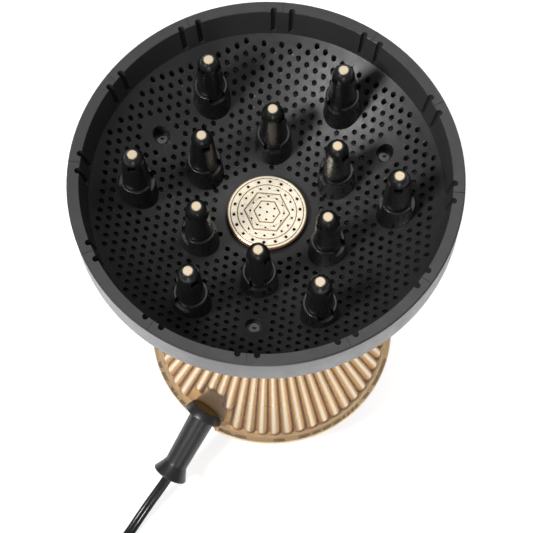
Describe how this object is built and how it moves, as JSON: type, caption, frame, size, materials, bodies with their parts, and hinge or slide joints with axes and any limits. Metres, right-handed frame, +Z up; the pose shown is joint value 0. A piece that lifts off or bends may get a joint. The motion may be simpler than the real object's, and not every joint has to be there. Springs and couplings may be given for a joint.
{
  "type": "hair dryer",
  "caption": "Stand-up hair dryer: perforated bowl diffuser with massage fingers facing up, slim waist grip, fluted golden bell foot with air intake, and mains cord with plug.",
  "frame": {"origin": "middle of the foot, on the surface that the dryer stands on", "axes": "+Z up along the axis of bowl, waist and bell; the cord leaves at 240 degrees from +X, the controls face 60 degrees"},
  "size_m": [0.19, 0.3097, 0.2552],
  "materials": {
    "rim_plastic": "satin",
    "plate_plastic": "satin",
    "gold_metal": "polished",
    "dark_plastic": "satin",
    "gloss_black": "gloss",
    "black_steel": "satin",
    "shell_plastic": "satin",
    "steel": "brushed",
    "gold_plastic": "metallic gloss",
    "white_plastic": "matte",
    "clear_plastic": "clear",
    "filter_mesh": "woven",
    "rubber": "matte",
    "grey_plastic": "matte",
    "magnet": "matte",
    "copper": "enamelled",
    "bronze": "sintered",
    "board": "matte",
    "mica": "matte",
    "heating_wire": "drawn",
    "aluminium": "satin",
    "ceramic": "matte",
    "guard_rubber": "satin",
    "cord_rubber": "satin gloss",
    "plug_plastic": "satin",
    "pin_metal": "polished"
  },
  "bodies": {
    "housing": {"rim_ring": "rim_plastic", "diffuser_plate": "plate_plastic", "medallion": "gold_metal", "medallion_seat": "dark_plastic", "inner_finger_bases": "gloss_black", "outer_finger_bases": "gloss_black", "finger_tips": "gold_metal", "plate_screws": "black_steel", "bowl_shell": "shell_plastic", "neck_shell": "shell_plastic", "neck_screws": "steel", "control_panel": "gloss_black", "switch_block": "white_plastic", "clear_bell": "clear_plastic", "gold_liner": "gold_plastic", "base_trim": "gold_plastic", "base_cup": "dark_plastic", "intake_grille": "dark_plastic", "lint_filter": "filter_mesh", "rubber_feet": "rubber", "base_screws": "steel", "fan_duct": "grey_plastic", "motor_can": "steel", "motor_magnets": "magnet", "motor_end_cap": "dark_plastic", "motor_bearings": "bronze", "rectifier_board": "board", "heater_sleeve": "mica", "heater_frame": "mica", "heater_coil": "heating_wire", "thermostat": "aluminium", "thermal_fuse": "ceramic", "cord_collar": "guard_rubber", "cord_guard": "guard_rubber", "cord_lead": "cord_rubber", "cord_coil": "cord_rubber", "coil_tie": "rubber", "cord_tail": "cord_rubber", "plug_body": "plug_plastic", "plug_pins": "pin_metal", "finger_sleeve_01": "gloss_black", "finger_sleeve_02": "gloss_black", "finger_sleeve_03": "gloss_black", "finger_sleeve_04": "gloss_black", "finger_sleeve_05": "gloss_black", "finger_sleeve_06": "gloss_black", "finger_sleeve_07": "gloss_black", "finger_sleeve_08": "gloss_black", "finger_sleeve_09": "gloss_black", "finger_sleeve_10": "gloss_black", "finger_sleeve_11": "gloss_black", "finger_sleeve_12": "gloss_black"},
    "rotor": {"fan_impeller": "grey_plastic", "motor_shaft": "steel", "motor_armature": "copper"},
    "switch": {"slide_knob": "gold_plastic"},
    "button": {"cool_button": "gold_plastic", "button_spring": "steel"}
  },
  "joints": [
    {"name": "fan_spin", "type": "hinge", "parent": "housing", "child": "rotor", "pos_m": [0, 0, 0.05], "axis": [0, 0, 1], "continuous": true},
    {"name": "switch_slide", "type": "slide", "parent": "housing", "child": "switch", "axis": [0, 0, 1], "range_m": [0, 0.008]},
    {"name": "cool_press", "type": "slide", "parent": "housing", "child": "button", "axis": [-0.5, -0.866, 0], "range_m": [0, 0.0015], "stiffness_N_per_m": 600, "springref_m": -0.001}
  ]
}
